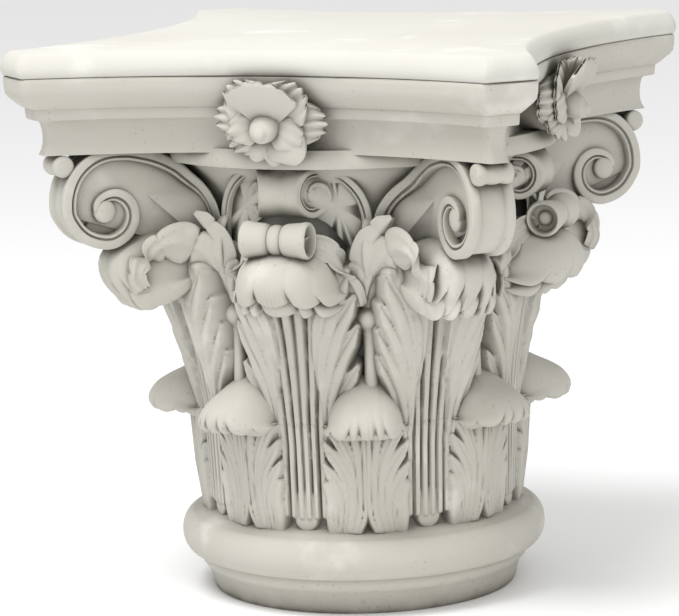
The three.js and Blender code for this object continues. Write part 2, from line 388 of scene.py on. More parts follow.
def piece(name, mesh, copies=1, first_angle=0.0, material=CAST_STONE, node="capital",
          keep=1.0):
    """A finished piece: one carving, repeated round the axis and set in the frame. keep is the
    share of its faces that stay, which holds the piece within its limit of triangles."""
    made = bpy.data.objects.new(name, mesh)
    bpy.context.collection.objects.link(made)
    if keep < 1:
        fewer = made.modifiers.new("fewer faces", "DECIMATE")
        fewer.ratio = keep
    ring = made.modifiers.new("ring", "NODES")
    ring.node_group = RING
    ring[RING_SOCKETS["Copies"]] = copies
    ring[RING_SOCKETS["First Angle"]] = math.radians(first_angle)
    ring[RING_SOCKETS["Finish"]] = material
    view = bpy.context.evaluated_depsgraph_get()
    made.data = bpy.data.meshes.new_from_object(made.evaluated_get(view))
    made.modifiers.clear()
    made.data.name = name
    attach(made, "root")
    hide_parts(node)
    return made


# ---- Base and bell -------------------------------------------------------------------------

def base_and_bell():
    """The turned body: foot, torus and the bell behind the leaves, flaring to the neck."""
    foot = smooth_curve([[109.3, 0.4], [110.5, 3], [112, 10], [114, 15], [117, 18.6], [119, 22],
                         [119.8, 26.6]], 26)
    torus_angle = np.radians(np.linspace(-128, 88, 30))
    torus = np.stack([121.7 + 10.2 * np.cos(torus_angle), 41.5 + 14.4 * np.sin(torus_angle)], axis=1)
    torus = torus[torus[:, 1] > 27.4]
    cove = smooth_curve([[119, 57.2], [112, 60], [107, 63], [BELL_RADIUS, 75], [BELL_RADIUS, 150],
                         [BELL_RADIUS, 225], [110, 255], [116, 280], [121, 300], [130, 314], [139, 317.5],
                         [145, 318], [146.4, 321], [146, 327], [144, 331]], 90)
    profile = np.vstack([[[0, 0]], [[108.6, 0]], foot, torus, cove, [[0, 331]]])
    return body("base_and_bell", [lathe(profile, 192)])


# ---- Abacus --------------------------------------------------------------------------------

ARC_STEPS = 44
CUT_STEPS = 6
CORNER_SOFTNESS = 1.6


def abacus_outline(reach, corner, middle):
    """Four hollow arcs joined by cut corners whose edges are slightly rounded."""
    half_chord = (reach - corner) / math.sqrt(2)
    chord_out = (reach + corner) / math.sqrt(2)
    sag = chord_out - middle
    radius = (half_chord ** 2 + sag ** 2) / (2 * sag)
    half = math.asin(half_chord / radius)
    angle = half * np.linspace(-1, 1, ARC_STEPS + 1)
    arc = np.stack([radius * np.sin(angle), -(middle + radius - radius * np.cos(angle))], axis=1)
    step = (arc[-1] - arc[-2]) / np.linalg.norm(arc[-1] - arc[-2])
    soft = min(CORNER_SOFTNESS, corner * 0.3)
    arc[-1] -= step * soft
    arc[0] += step * [1, -1] * soft
    along_cut = np.array([1, 1]) / math.sqrt(2)
    start = np.array([half_chord, -chord_out]) + along_cut * soft
    end = np.array([chord_out, -half_chord]) - along_cut * soft
    cut = start + (end - start) * np.linspace(0, 1, CUT_STEPS)[:, None]
    loop = []
    for face in range(4):
        a = face * math.pi / 2
        spin = np.array([[math.cos(a), -math.sin(a)], [math.sin(a), math.cos(a)]])
        loop.extend([arc @ spin.T, cut @ spin.T])
    return np.vstack(loop)


def moulded_slab(levels):
    """A slab through outlines at rising levels, given as (height, change of the reach to the
    corners, change of the distance to the hollow's middle, width of the corner cut)."""
    rows = []
    for height, reach_change, middle_change, corner in levels:
        outline = abacus_outline(SEAM_REACH + reach_change, corner, SEAM_MIDDLE + middle_change)
        rows.append(np.column_stack([outline, np.full(len(outline), height)]))
    return tube(np.stack(rows))


def abacus():
    """Cove, fillet and ovolo, following the same outlines as the solid."""
    keys = [(NECK_LOW, -19, -24, 7), (332, -21, -25.2, 6.4), (336, -22, -26, 6), (341, -22.2, -26.2, 6),
            (346, -21.6, -25.8, 6), (350, -20.5, -25, 6), (352.4, -18.8, -22.6, 7),
            (352.9, -13.4, -15.6, 11.6), (353.6, -12.9, -14.9, 12), (359.6, -12.1, -14.1, 12),
            (360.4, -12.1, -14.2, 12), (360.9, -10.9, -13, 12.4), (363, -8, -10, 13.8),
            (365.5, -5.4, -7.3, 15.5), (368, -2.6, -4.4, 17.3), (371, -0.7, -2.1, 19),
            (375, -0.3, -0.9, 19.6), (379, -0.1, -0.4, 19.9), (SEAM - 1.2, 0, -0.1, 20),
            (SEAM - SEAM_GAP, -1, -1, 20)]
    return body("abacus", [moulded_slab(keys)])


def top_plate():
    """The separate plate, with a soft edge, above the joint line."""
    keys = [(SEAM, -1.1, -1.1, 19.4), (384, 0.4, 0.4, 19.8), (386, 1.3, 1.3, 20), (388, 1.65, 1.65, 20),
            (391, 1.5, 1.5, 19.4), (394, 0.5, 0.5, 18.4), (396.6, -1, -1, 17.6), (398.6, -2.7, -2.7, 17),
            (399.6, -4, -4, 16.4), (TOP, -5.6, -5.6, 15.6)]
    return body("top_plate", [moulded_slab(keys)])


# ---- Carving cut into the bell -------------------------------------------------------------

CARVING_STEP = 0.95
WALL_SLOPE = 3.2
FLOOR_RADIUS = 100
FLOOR_THICKNESS = 12
GROOVE_WIDTH = 0.95


class Relief:
    """The radius of the carved surface, over one quarter of the bell laid flat."""

    def __init__(self, low, high):
        quarter = UNROLL_RADIUS * math.pi / 2
        self.across = np.linspace(-quarter / 2, quarter / 2, int(quarter / CARVING_STEP) + 1)
        self.height = np.linspace(low, high, int((high - low) / CARVING_STEP) + 1)
        self.x, self.z = np.meshgrid(self.across, self.height)
        self.radius = np.full(self.x.shape, float(FLOOR_RADIUS))

    def nearest(self, x, path):
        """Each point's distance from a path, the share of the path passed there, and how far to
        the path's left or right it lies."""
        run = np.linspace(0, 1, len(path))
        best = np.full(x.shape, 1e9)
        share = np.zeros(x.shape)
        offset = np.zeros(x.shape)
        for a, b, ra, rb in zip(path[:-1], path[1:], run[:-1], run[1:]):
            step = b - a
            length = max(np.hypot(*step), 1e-6)
            along = np.clip(((x - a[0]) * step[0] + (self.z - a[1]) * step[1]) / length ** 2, 0, 1)
            gap_x = x - a[0] - along * step[0]
            gap_z = self.z - a[1] - along * step[1]
            gap = np.hypot(gap_x, gap_z)
            nearer = gap < best
            best[nearer] = gap[nearer]
            share[nearer] = (ra + along * (rb - ra))[nearer]
            offset[nearer] = ((step[0] * gap_z - step[1] * gap_x) / length)[nearer]
        return best, share, offset

    def stroke(self, line, widths, radii, dish=0.0, crown=1.6, grooves=(), centre=0.0):
        """Raises a band along a line from foot to tip. widths and radii are [share along, value]
        pairs; grooves are [share across, depth] pairs; a dish hollows the band between its edges."""
        path = smooth_curve(line, 40)
        for side in (-1, 1):
            best, share, offset = self.nearest(self.x * side - centre, path)
            width = through(widths, share)
            place_across = np.clip(offset / width, -1, 1)
            reach = best / width
            surface = through(radii, share) - crown * np.clip(reach, 0, 1) ** 3
            surface += dish * (np.clip(reach, 0, 1) ** 2 - 1)
            for at, depth in grooves:
                surface -= depth * np.exp(-((place_across - at) * width / GROOVE_WIDTH) ** 2)
            surface -= np.maximum(best - width, 0) * WALL_SLOPE
            self.radius = np.maximum(self.radius, surface)

    def grid(self):
        """The carved face between two rows that lie inside the bell."""
        angle = self.x / UNROLL_RADIUS
        front = np.stack([self.radius * np.sin(angle), -self.radius * np.cos(angle), self.z], axis=-1)
        back_angle = self.across / UNROLL_RADIUS
        inner = FLOOR_RADIUS - FLOOR_THICKNESS
        foot = np.full(len(back_angle), self.height[0])
        low = np.stack([inner * np.sin(back_angle), -inner * np.cos(back_angle), foot], axis=-1)
        high = low + [0, 0, self.height[-1] - self.height[0]]
        return np.concatenate([low[None], front, high[None]])


def around_bell(relief):
    """The four quarters of a relief as one closed ring."""
    quarter = relief.grid()
    rows = quarter.shape[0]
    full = []
    for k in range(4):
        points, _ = turned((quarter, []), 90 * k)
        full.append(points.reshape(rows, -1, 3)[:, :-1])
    ring = np.concatenate(full, axis=1)
    return ring.reshape(-1, 3), grid_faces(rows, ring.shape[1], wrap_rows=True, wrap_columns=True)


LOWER_CENTRE = UNROLL_RADIUS * math.radians(LOWER_LEAF_START)
CORNER_CENTRE = UNROLL_RADIUS * math.radians(CORNER_START)


def half_leaf_stroke(relief, side, line, widths, radii, **cut):
    """A stroke on one half of each short leaf."""
    line = [[across * side, z] for across, z in line]
    relief.stroke(line, widths, radii, centre=LOWER_CENTRE, **cut)


def carve_lower_leaves(relief):
    """The short leaf: ribs up its middle and hooked lobes that sweep out to each side."""
    for side in (-1, 1):
        band = functools.partial(half_leaf_stroke, relief, side)
        band([[25, 60], [25.5, 72], [24.5, 82], [27.5, 93]], [[0, 4.4], [0.6, 4.6], [1, 3.6]],
             [[0, 115], [0.5, 117.6], [1, 118.8]], grooves=[[0.35 * side, 0.5]])
        band([[19, 60], [17, 78], [20, 92], [29.5, 108]], [[0, 2.6], [0.5, 4.2], [0.85, 4.0], [1, 1.6]],
             [[0, 115.6], [0.5, 118.4], [1, 119.4]], dish=0.5, grooves=[[-0.2, 0.9]])
        band([[15.5, 60], [12.6, 80], [14.5, 100], [28.8, 123.5]],
             [[0, 2.4], [0.5, 4.4], [0.85, 4.6], [1, 1.5]],
             [[0, 116.2], [0.5, 119.3], [1, 120.6]], dish=0.6, grooves=[[0.1, 0.9], [-0.5, 0.5]])
        band([[12, 60], [8.8, 84], [10.4, 108], [22.5, 137]], [[0, 2.2], [0.5, 3.4], [1, 6]],
             [[0, 116.6], [0.5, 120], [1, 122.4]], dish=0.4, grooves=[[-0.45, 0.8], [0.35, 0.8]])
        band([[9, 60], [5, 78], [5.4, 110], [9, 138]], [[0, 2.0], [0.3, 1.8], [1, 3.2]],
             [[0, 116.8], [0.4, 120], [1, 123.5]], crown=1.2, grooves=[[0, 0.5]])
        band([[6, 60], [1.6, 74], [1.4, 110], [2, 138]], [[0, 2.0], [0.3, 1.2], [1, 1.5]],
             [[0, 116.4], [0.4, 121.2], [1, 124.6]], crown=1.0)


FLUTE_FOOT = 68
FLUTE_TOP = 246
FLUTE_SPREAD = 0.95
FLUTE_OFFSETS = [-15, -9, -3, 3, 9, 15]
FLUTE_RISE = 1.2


def carve_flutes(relief, centre, leaf_radii):
    """Long parallel ribs that rise from round feet between the short leaves."""
    radii = [[(z - FLUTE_FOOT) / (FLUTE_TOP - FLUTE_FOOT), r + FLUTE_RISE] for z, r in leaf_radii]
    for offset in FLUTE_OFFSETS:
        line = [[offset, 69 + 0.12 * abs(offset)], [offset, 100], [offset * 1.02, 140],
                [offset * (1 + FLUTE_SPREAD * 0.45), (140 + FLUTE_TOP) / 2 + 12],
                [offset * (1 + FLUTE_SPREAD), FLUTE_TOP]]
        relief.stroke(line, [[0, 2.1], [0.4, 2.2], [1, 3.6]], radii, centre=centre, crown=1.7,
                      grooves=[[0, 0.5]])
    relief.stroke([[0, FLUTE_FOOT], [0, 80]], [[0, 9], [1, 9]], [[0, 112.6], [1, 112.6]],
                  centre=centre, crown=0.6)


def carve_tall_leaf(relief, centre, tips, radii):
    """Side lobes of a tall leaf, each sweeping out from the ribs to a hooked tip, which is given as
    (across, height, half width)."""
    for tip_s, tip_z, width in tips:
        for side in (-1, 1):
            foot = tip_s * 0.46
            line = [[foot * side, tip_z - 84], [foot * 1.08 * side, tip_z - 54],
                    [(foot + (tip_s - foot) * 0.42) * side, tip_z - 24], [tip_s * side, tip_z]]
            line = [[s, max(z, 118)] for s, z in line]
            r_foot, r_tip = through(radii, tip_z - 60), through(radii, tip_z)
            relief.stroke(line, [[0, 2.6], [0.55, width * 1.15], [0.86, width], [1, 1.6]],
                          [[0, r_foot - 0.6], [0.6, r_tip], [1, r_tip + 1.6]], centre=centre, dish=1.2,
                          crown=1.6, grooves=[[0.05, 1.1], [0.55 * side, 0.6]])


# Each tall leaf's surface as [height, radius] pairs, and its side lobes' tips
FACE_RADII = [[68, 113], [118, 114.5], [140, 116.5], [162, 118.5], [184, 121.5], [202, 124.5],
              [222, 129.5], [244, 134]]
FACE_TIPS = [(42, 178, 4.8), (42.5, 207, 5.6), (41, 229, 6.0), (37, 246, 6.2)]
CORNER_RADII = [[68, 113], [118, 115], [140, 117.5], [164, 121.5], [185, 126], [206, 131],
                [226, 137.5], [246, 144]]
CORNER_TIPS = [(36, 184, 4.8), (36.5, 204, 5.4), (35.5, 223, 5.8), (32, 242, 6.2), (25, 254, 6)]


def carve_upper_leaves(relief):
    """One tall leaf in the middle of the quarter and one at each of its edges."""
    for centre, radii, tips in ((0, FACE_RADII, FACE_TIPS), (CORNER_CENTRE, CORNER_RADII, CORNER_TIPS),
                                (-CORNER_CENTRE, CORNER_RADII, CORNER_TIPS)):
        carve_tall_leaf(relief, centre, tips, radii)
        carve_flutes(relief, centre, radii)


def lower_carving():
    relief = Relief(58, 137)
    carve_upper_leaves(relief)
    carve_lower_leaves(relief)
    return body("lower_leaves", [around_bell(relief)])


def upper_carving():
    relief = Relief(134, 252)
    carve_upper_leaves(relief)
    return body("tall_leaves", [around_bell(relief)])


# ---- Leaf tips that turn over --------------------------------------------------------------

HOOD_WRAP = 110


def hood(loop, anchor, half_width, edges, lobe, notch, droop, power, folds=0.0, columns=97):
    """The turned-over tip of a leaf: a closed section in the radial plane, drawn in towards the
    bell at its sides, with rounded lobes along its lip between the given edges."""
    section = smooth_curve(loop, 56, closed=True)
    anchor = np.array(anchor, float)
    reach = np.linalg.norm(section - anchor, axis=1)
    near_lip = 1 - 0.85 * ease(section[:, 1].min() + 8, section[:, 1].min() + 27, section[:, 1])
    free = ease(0.3, 0.95, reach / reach.max()) * near_lip
    share = np.linspace(-0.995, 0.995, columns)
    dome = (1 - np.abs(share) ** power) ** (1 / power)
    lobes = bulges(edges, share)
    rows = []
    for s, k, bulge in zip(share, dome, lobes):
        scale = k * (1 + lobe * (bulge - 1) * free)
        fold = folds * np.cos(s * half_width * 1.9) * math.exp(-(s * 3.2) ** 2) * free
        points = anchor + (section - anchor) * (scale * (1 + fold))[:, None]
        side = s * half_width * (0.86 + 0.14 * free)
        low = ease(section[:, 1].mean() + 4, section[:, 1].min(), section[:, 1])
        rise = notch * (1 - bulge) * free * low - droop * s * s
        rows.append(place(points[:, 0] - side ** 2 / (2 * HOOD_WRAP), side, points[:, 1] + rise))
    return tube(np.stack(rows))


def lower_hoods():
    edges = [-1, -0.84, -0.42, -0.2, 0.2, 0.42, 0.84, 1]
    loop = [[108, 168], [117, 165.5], [128, 160], [139, 155], [147.5, 149.5], [152.6, 142], [152.4, 135],
            [147, 131.5], [140, 134], [132, 133], [124, 127], [108, 126]]
    return body("lower_leaf_tips", [hood(loop, [113, 137], 30, edges, 0.13, 7, 3, power=2.6, folds=0.012)])


def face_hoods():
    loop = [[110, 268], [122, 266.5], [136, 265], [148, 262.5], [160, 257], [168, 247], [169.4, 236],
            [165, 227], [157, 227], [149, 232], [140, 230], [128, 222], [112, 220]]
    main = hood(loop, [116, 238], 42, [-1, -0.74, -0.3, 0.3, 0.74, 1], 0.12, 8, 6, power=3, folds=0.012,
                columns=121)
    under = [[112, 246], [126, 248], [142, 244], [153, 236], [157, 226], [152, 218], [144, 220], [137, 224],
             [126, 218], [112, 214]]
    layer = hood(under, [116, 228], 39, [-1, -0.6, -0.36, 0.36, 0.6, 1], 0.2, 7, 5, power=3)
    return body("face_leaf_tips", [main, layer])


def corner_hoods():
    loop = [[112, 266], [132, 270], [152, 271], [172, 268], [187, 261.5], [194, 252], [193.2, 240],
            [187, 229.5], [178, 221.5], [168, 220.5], [160, 225], [156.5, 233], [158, 242], [152, 249],
            [143, 246.5], [136, 236], [128, 224], [112, 222]]
    main = hood(loop, [118, 252], 31, [-1, -0.6, -0.24, 0.24, 0.6, 1], 0.1, 8, 9, power=3.6, folds=0.008,
                columns=111)
    curl = [[162, 246], [172, 244], [181, 238], [184, 229], [179, 219], [171, 215.5], [163, 218], [159, 226],
            [161, 236]]
    layer = hood(curl, [166, 234], 27, [-1, -0.52, -0.12, 0.36, 0.6, 1], 0.2, 5, 2, power=4)
    return body("corner_leaf_tips", [main, layer])


# ---- Scrolls -------------------------------------------------------------------------------

# plan is the face seen from above, as [out, across] pairs from its outer edge inwards; stem is the
# rim before the roll, as [along the plan, height]; turns is the rim of the roll, as measured
# [angle, radius] pairs about the eye.
BIG = {
    "plan": [[227, 16], [206, 16], [185, 16], [163, 16], [142, 16], [131, 22], [124, 34], [118, 46],
             [113, 57]],
    "stem": [[122, 250], [121, 270], [117, 286], [112, 295], [105, 302.5], [96.5, 309.5], [88.5, 317],
             [79, 322.7], [70, 326.6], [59.6, 329.6]],
    "eye": [31.3, 287.4],
    "turns": [[113, 47.9], [98, 44.8], [85, 42.6], [71, 40], [56, 37.3], [42, 34.8], [27, 32.5], [11, 30.8],
              [-6, 29.7], [-24, 27.8], [-42, 26.9], [-61, 26.3], [-82, 26.4], [-100, 27.1],
              [-117, 27.3],
              [-135, 27.4], [-152, 26.9], [-167, 26.1], [-183, 24.9], [-198, 23.3], [-214, 21.3], [-235, 18.2],
              [-259, 14.7], [-290, 11.7], [-323, 9.9], [-355, 8.3]],
    "band": 6.2, "web_depth": 8.5, "boss": 8.2, "rows": 250, "web_share": 0.62,
    "roll_share": 0.3, "web_centre": [62, 288],
}
SMALL = {
    "plan": [[147, 14], [144.3, 14.7], [138.5, 17.7], [131.5, 21], [125.5, 25], [124.3, 30.5], [122, 39],
             [119, 46.5], [113, 57]],
    "stem": [[58, 250], [59, 268], [58, 284], [54, 297], [47, 307], [38, 314.5], [29, 317.8]],
    "eye": [17.5, 299.5],
    "turns": [[88, 18.6], [60, 18.2], [30, 17.6], [0, 17], [-30, 16.6], [-60, 16.3], [-90, 16], [-120, 15.2],
              [-150, 14.2], [-180, 13], [-215, 11.2], [-250, 9.2], [-290, 7.2], [-330, 6]],
    "band": 4.4, "web_depth": 5.5, "boss": 5.6, "rows": 150, "web_share": 0.62,
    "roll_share": 0.45, "web_centre": [36, 292],
}


def rim_line(sizes):
    """The outer edge of the band, up its stem and round the roll."""
    eye = sizes["eye"]
    turns = [[eye[0] - r * math.cos(math.radians(a)), eye[1] + r * math.sin(math.radians(a))]
             for a, r in sizes["turns"]]
    return smooth_curve(sizes["stem"] + turns, sizes["rows"])


def lay_on_plan(sizes, along, height, sunk):
    """Lays flat points on the scroll's standing surface, sunk below its face by a distance."""
    plan = smooth_curve(sizes["plan"], 240)
    run = np.concatenate([[0], np.cumsum(np.linalg.norm(np.diff(plan, axis=0), axis=1))])
    slope = tangents(plan)
    out, across = np.interp(along, run, plan[:, 0]), np.interp(along, run, plan[:, 1])
    slope_out, slope_across = np.interp(along, run, slope[:, 0]), np.interp(along, run, slope[:, 1])
    out = out - np.minimum(along, 0)
    return place(out - slope_across * sunk, across + slope_out * sunk, height)


def lay_on_strap(sizes, along, height, share):
    """Points between the scroll's face (share 0) and the middle plane of its strap (share 1)."""
    face = lay_on_plan(sizes, along, height, 0)
    half = sizes["plan"][0][1]
    middle_out = -face[..., 1] - 0.9 * np.maximum(face[..., 0] - half, 0)
    return face + (place(middle_out, 0, height) - face) * share


STRAP_STEPS = (0, 0.12, 0.24, 0.32, 0.36, 0.4, 0.46, 0.5, 0.54, 0.6, 0.75, 0.93)
BACK_STEPS = 40


def scroll_band(sizes, strap):
    """The rolled band: its strap outside, then a flat fillet, a groove and a bead on its face."""
    rim = rim_line(sizes)
    inward = inward_from(rim, sizes["eye"])
    band, deep = sizes["band"], sizes["web_depth"]
    left = np.linspace(1, 0, len(rim))
    room = ease(0.0, 0.12, left)
    face = [[0.9, 0.0], [0.25, 0.35], [0.0, 1.0], [0.0, 0.34 * band], [0.0, 0.68 * band], [0.05, 0.93 * band],
            [0.8, band], [2.0, 1.03 * band], [2.3, 1.12 * band], [1.3, 1.2 * band], [0.7, 1.32 * band],
            [0.9, 1.48 * band], [2.2, 1.6 * band], [deep, 1.68 * band]]
    fit = 0.62 + 0.38 * room
    points = []
    for sunk, depth in face:
        inner = rim + inward * (depth * fit)[:, None]
        points.append(lay_on_plan(sizes, inner[:, 0], inner[:, 1], sunk))
    for share in (0.8, 1.0):
        points.append(lay_on_strap(sizes, inner[:, 0], inner[:, 1], share))
    at = np.linspace(0, 1, len(rim))
    for across in STRAP_STEPS:
        outer = rim + inward * strap(at, 1 - across)[:, None]
        points.append(lay_on_strap(sizes, outer[:, 0], outer[:, 1], 1 - across))
    return tube(np.stack(points, axis=1))


def inward_from(rim, eye):
    """Directions across a rim towards its eye, judged a few steps back from the rim's end."""
    way = tangents(rim)
    inward = np.stack([-way[:, 1], way[:, 0]], axis=1)
    return inward * (1 if (np.array(eye) - rim[-BACK_STEPS]) @ inward[-BACK_STEPS] > 0 else -1)


def dished(sizes, loop, centre, lower, dish):
    """The ground inside a closed line, sunk below the face and dished towards its centre. It is
    solid back to the middle plane, where it meets its mirror image."""
    shares = np.linspace(1, 0.02, 24)
    deep = sizes["web_depth"] + lower
    rows = []
    for share in shares:
        at = centre + (loop - centre) * share
        rows.append(lay_on_plan(sizes, at[:, 0], at[:, 1], deep + dish * (1 - share ** 2)))
    for share in shares[::-6]:
        at = centre + (loop - centre) * share
        rows.append(lay_on_strap(sizes, at[:, 0], at[:, 1], 0.98))
    return tube(np.stack(rows))


def scroll_web(sizes):
    """The hollow ground under the band's stem."""
    rim = rim_line(sizes)
    edge = (rim + inward_from(rim, sizes["eye"]) * sizes["band"] * 1.3)[:int(len(rim) * sizes["web_share"])]
    closing = edge[-1] + (edge[0] - edge[-1]) * np.linspace(0, 1, 24)[1:-1, None]
    return dished(sizes, np.vstack([edge, closing]), np.array(sizes["web_centre"], float), -1.4, 1.4)


def roll_web(sizes):
    """The hollow ground inside the roll, one full turn of the band."""
    rim = rim_line(sizes)
    eye = np.array(sizes["eye"], float)
    edge = rim + inward_from(rim, eye) * sizes["band"] * 1.3
    angle = np.unwrap(np.arctan2(rim[:, 1] - eye[1], rim[:, 0] - eye[0]))
    start = int(len(rim) * sizes["roll_share"])
    whole = start + np.argmax(np.abs(angle[start:] - angle[start]) >= 2 * math.pi)
    return dished(sizes, edge[start:whole], eye, 0.4, 0.6)


EYE_PROFILE = ((0.05, -0.6), (0.35, -0.5), (0.65, -0.1), (0.85, 0.5), (0.97, 1.4), (1.0, 2.6), (1.0, 12),
               (0.2, 13))


def scroll_eye(sizes):
    """The round boss at the end of the roll."""
    eye, radius = sizes["eye"], sizes["boss"]
    angle = np.linspace(0, 2 * np.pi, 40, endpoint=False)
    rows = []
    for share, sunk in EYE_PROFILE:
        size = radius * share
        rows.append(lay_on_plan(sizes, eye[0] - size * np.cos(angle), eye[1] + size * np.sin(angle), sunk))
    return tube(np.stack(rows))


def big_strap(along, middle):
    """Depth of the outer strap, from its edge (middle 0) to its middle line (1): a sunk panel
    between side fillets, which holds a long tablet, a boss and an arched tablet."""
    sunk = 2.4 * ease(0.42, 0.48, middle) * np.ones_like(along)
    tablet = 1.9 * ease(0.6, 0.66, middle) * ((along > 0.312) & (along < 0.378))
    boss_round = math.sqrt(max(0, 1 - ((1 - middle) / 0.36) ** 2))
    boss = 3.2 * boss_round * np.exp(-((along - 0.402) / 0.011) ** 4)
    arch_reach = (along > 0.425) & (along < 0.488)
    arch = 1.9 * ease(0.52, 0.6, middle) * arch_reach * (along > 0.445 - 0.02 * middle)
    return sunk - tablet - boss - arch


def small_strap(along, middle):
    """Depth of the small scroll's strap, with one eye-shaped boss on its middle line."""
    boss_round = math.sqrt(max(0, 1 - ((1 - middle) / 0.45) ** 2))
    boss = 1.5 * boss_round * np.exp(-((along - 0.5) / 0.022) ** 4)
    return 0.5 * ease(0.5, 0.9, middle) - boss


def scrolls(name, sizes, strap):
    """A pair of scrolls, mirror images, that share one strap."""
    halves = both_sides(scroll_band(sizes, strap), scroll_web(sizes), roll_web(sizes), scroll_eye(sizes))
    return body(name, halves)


# ---- Stalks, rolls and small leaves --------------------------------------------------------

def frond(spine, widths, sides, thick=3.2, lobes=0, lobe=0.25, ribs=2, rows=90, columns=25, bow=5.0):
    """A carved leaf strip along a line in space. widths are [share, upper, lower] half widths and
    sides [share, x, y, z] directions across it; lobes scallop its edges; bow arches it outward."""
    line = smooth_curve(spine, rows)
    way = tangents(line)
    share = np.linspace(0, 1, rows)
    side = np.stack([through([[key[0], key[k]] for key in sides], share) for k in (1, 2, 3)], axis=1)
    side -= way * np.sum(side * way, axis=1, keepdims=True)
    side /= np.linalg.norm(side, axis=1, keepdims=True)
    normal = np.cross(side, way)
    keys = np.array(widths, float)
    upper, lower = np.interp(share, keys[:, 0], keys[:, 1]), np.interp(share, keys[:, 0], keys[:, 2])
    if lobes:
        saw = (share * lobes) % 1.0
        notch = 1 - lobe * (1 - np.sqrt(np.clip(1 - (saw * 1.02 - 0.45) ** 2 / 0.34, 0, 1)))
        upper, lower = upper * notch, lower * notch
    across = np.linspace(-1, 1, columns)
    width = np.where(across[None] > 0, upper[:, None], lower[:, None]) * across[None]
    fullness = np.clip((upper + lower) / (upper + lower).max(), 0.05, 1)
    crest = bow * (1 - across[None] ** 2) * np.sqrt(fullness)[:, None]
    wander = 0.4 * np.sin(share * 9)[:, None]
    rib = 0.55 * np.cos(across[None] * math.pi * ribs + wander) * (1 - across[None] ** 4)
    front = line[:, None] + side[:, None] * width[..., None] + normal[:, None] * (crest + rib)[..., None]
    swell = 0.3 + 0.7 * np.sin(np.pi * np.clip(share, 0.06, 0.94))
    depth = thick * (1 - 0.75 * across[None] ** 2) * swell[:, None]
    back = front - normal[:, None] * depth[..., None]
    return shell(front, back)


def spot(out, height, across):
    return [across, -out, height]


def stalks():
    """Two rods to a face, each with a collar and a cup that the calyx leaves spring from."""
    profile = smooth_curve([[0.4, 140], [5.4, 142], [5.0, 160], [4.7, 185], [4.9, 198], [5.6, 201],
                            [5.2, 203], [6.2, 204], [9.2, 207], [10.3, 211.5], [9.0, 216], [5.8, 219],
                            [6.2, 221], [8.5, 226], [12, 235],
                            [14.6, 246], [15.2, 256], [13.4, 262], [9, 264], [4, 258], [0.4, 250]], 84)
    rod = lathe(profile, 40, out=115.5)
    return body("stalks", [turned(rod, STALK_ANGLE), turned(rod, -STALK_ANGLE)])


def calyx_leaves():
    """The leaves that spring from each stalk's cup and arch out under the corner scroll."""
    sides = [[0, 1, 0, 0.1], [0.18, 0.8, 0, 0.5], [0.4, 0.15, 0.1, 1], [0.7, 0.3, 0.4, 1], [1, 0.4, 1.4, 0.5]]
    arch = frond([spot(112, 222, 47), spot(119, 241, 44), spot(129, 255, 39), spot(142, 263, 34),
                  spot(156, 264, 31), spot(168, 259, 29), spot(176, 250, 28), spot(178, 240, 28),
                  spot(174, 232, 28)],
                 [[0, 6, 6], [0.15, 10, 9], [0.3, 15, 13], [0.5, 15, 16], [0.68, 11, 14], [0.84, 8, 9],
                  [1, 5, 6]],
                 sides, lobes=4.5, lobe=0.5, ribs=2.5, bow=5, thick=4.5, rows=130, columns=35)
    upright = frond([spot(112, 224, 52), spot(117, 246, 49), spot(123, 264, 44), spot(130, 277, 38),
                     spot(136, 284, 33)],
                    [[0, 6, 6], [0.35, 11, 12], [0.7, 12, 10], [0.9, 8, 6], [1, 2, 2]],
                    [[0, 1, 0.3, 0], [1, 0.9, 0.5, 0]], lobes=2.5, lobe=0.4, ribs=1.5, bow=4, rows=70,
                    columns=25)
    return body("corner_calyx_leaves", both_sides(arch, upright))


def small_calyx_leaves():
    """The leaves that arch from each stalk to the middle of the face, and the curled leaf over its stalk."""
    arch = frond([spot(114, 222, 46), spot(121, 240, 42), spot(128, 254, 36), spot(134, 263, 29),
                  spot(139, 266, 21), spot(143, 261, 16), spot(144, 254, 14)],
                 [[0, 6, 6], [0.25, 8, 8], [0.55, 9, 9], [0.85, 7, 8], [1, 3, 3]],
                 [[0, -1, 0, 0.1], [0.3, -0.6, 0, 0.6], [0.6, 0.1, 0.2, 1], [1, 0.8, 0.6, 0.6]],
                 lobes=3.5, lobe=0.4, ribs=2, bow=-4.5, thick=-4, rows=90, columns=25)
    angle = math.radians(STALK_ANGLE)
    outward = np.array([math.sin(angle), -math.cos(angle)])
    rise = [(119, 232), (128, 240), (133.5, 252), (134, 264), (130, 275), (124, 281), (118, 280)]
    curled = frond([[outward[0] * r, outward[1] * r, z] for r, z in rise],
                   [[0, 3, 3], [0.35, 5.5, 5.5], [0.7, 5.5, 5.5], [1, 3, 3]],
                   [[0, outward[1], -outward[0], 0], [1, outward[1], -outward[0], 0]], lobes=3, lobe=0.3,
                   ribs=1, bow=-2.5, thick=-3.4, rows=70, columns=19)
    return body("face_calyx_leaves", both_sides(arch, curled))


def face_rolls():
    """The tied roll that lies across the top of each face's leaf, hollow at both ends."""
    half = [[10.6, 0], [10.4, 2], [9.6, 3.8], [8.9, 4.6], [10.4, 5.6], [11.4, 8], [11.8, 12], [12.2, 17],
            [12.9, 21], [12.6, 23.2]]
    curled_end = [[11.4, 24.2], [10.2, 23.4], [9.6, 20], [8.8, 17.2], [5.6, 16.6], [4.6, 18.4],
                  [2.6, 19.2], [0.4, 19.4]]
    side = half[1:] + curled_end
    profile = [[r, -x] for r, x in side[::-1]] + [half[0]] + side
    return body("face_rolls", [lathe(np.array(profile), 48, out=149, height=270.5, lying=True)])


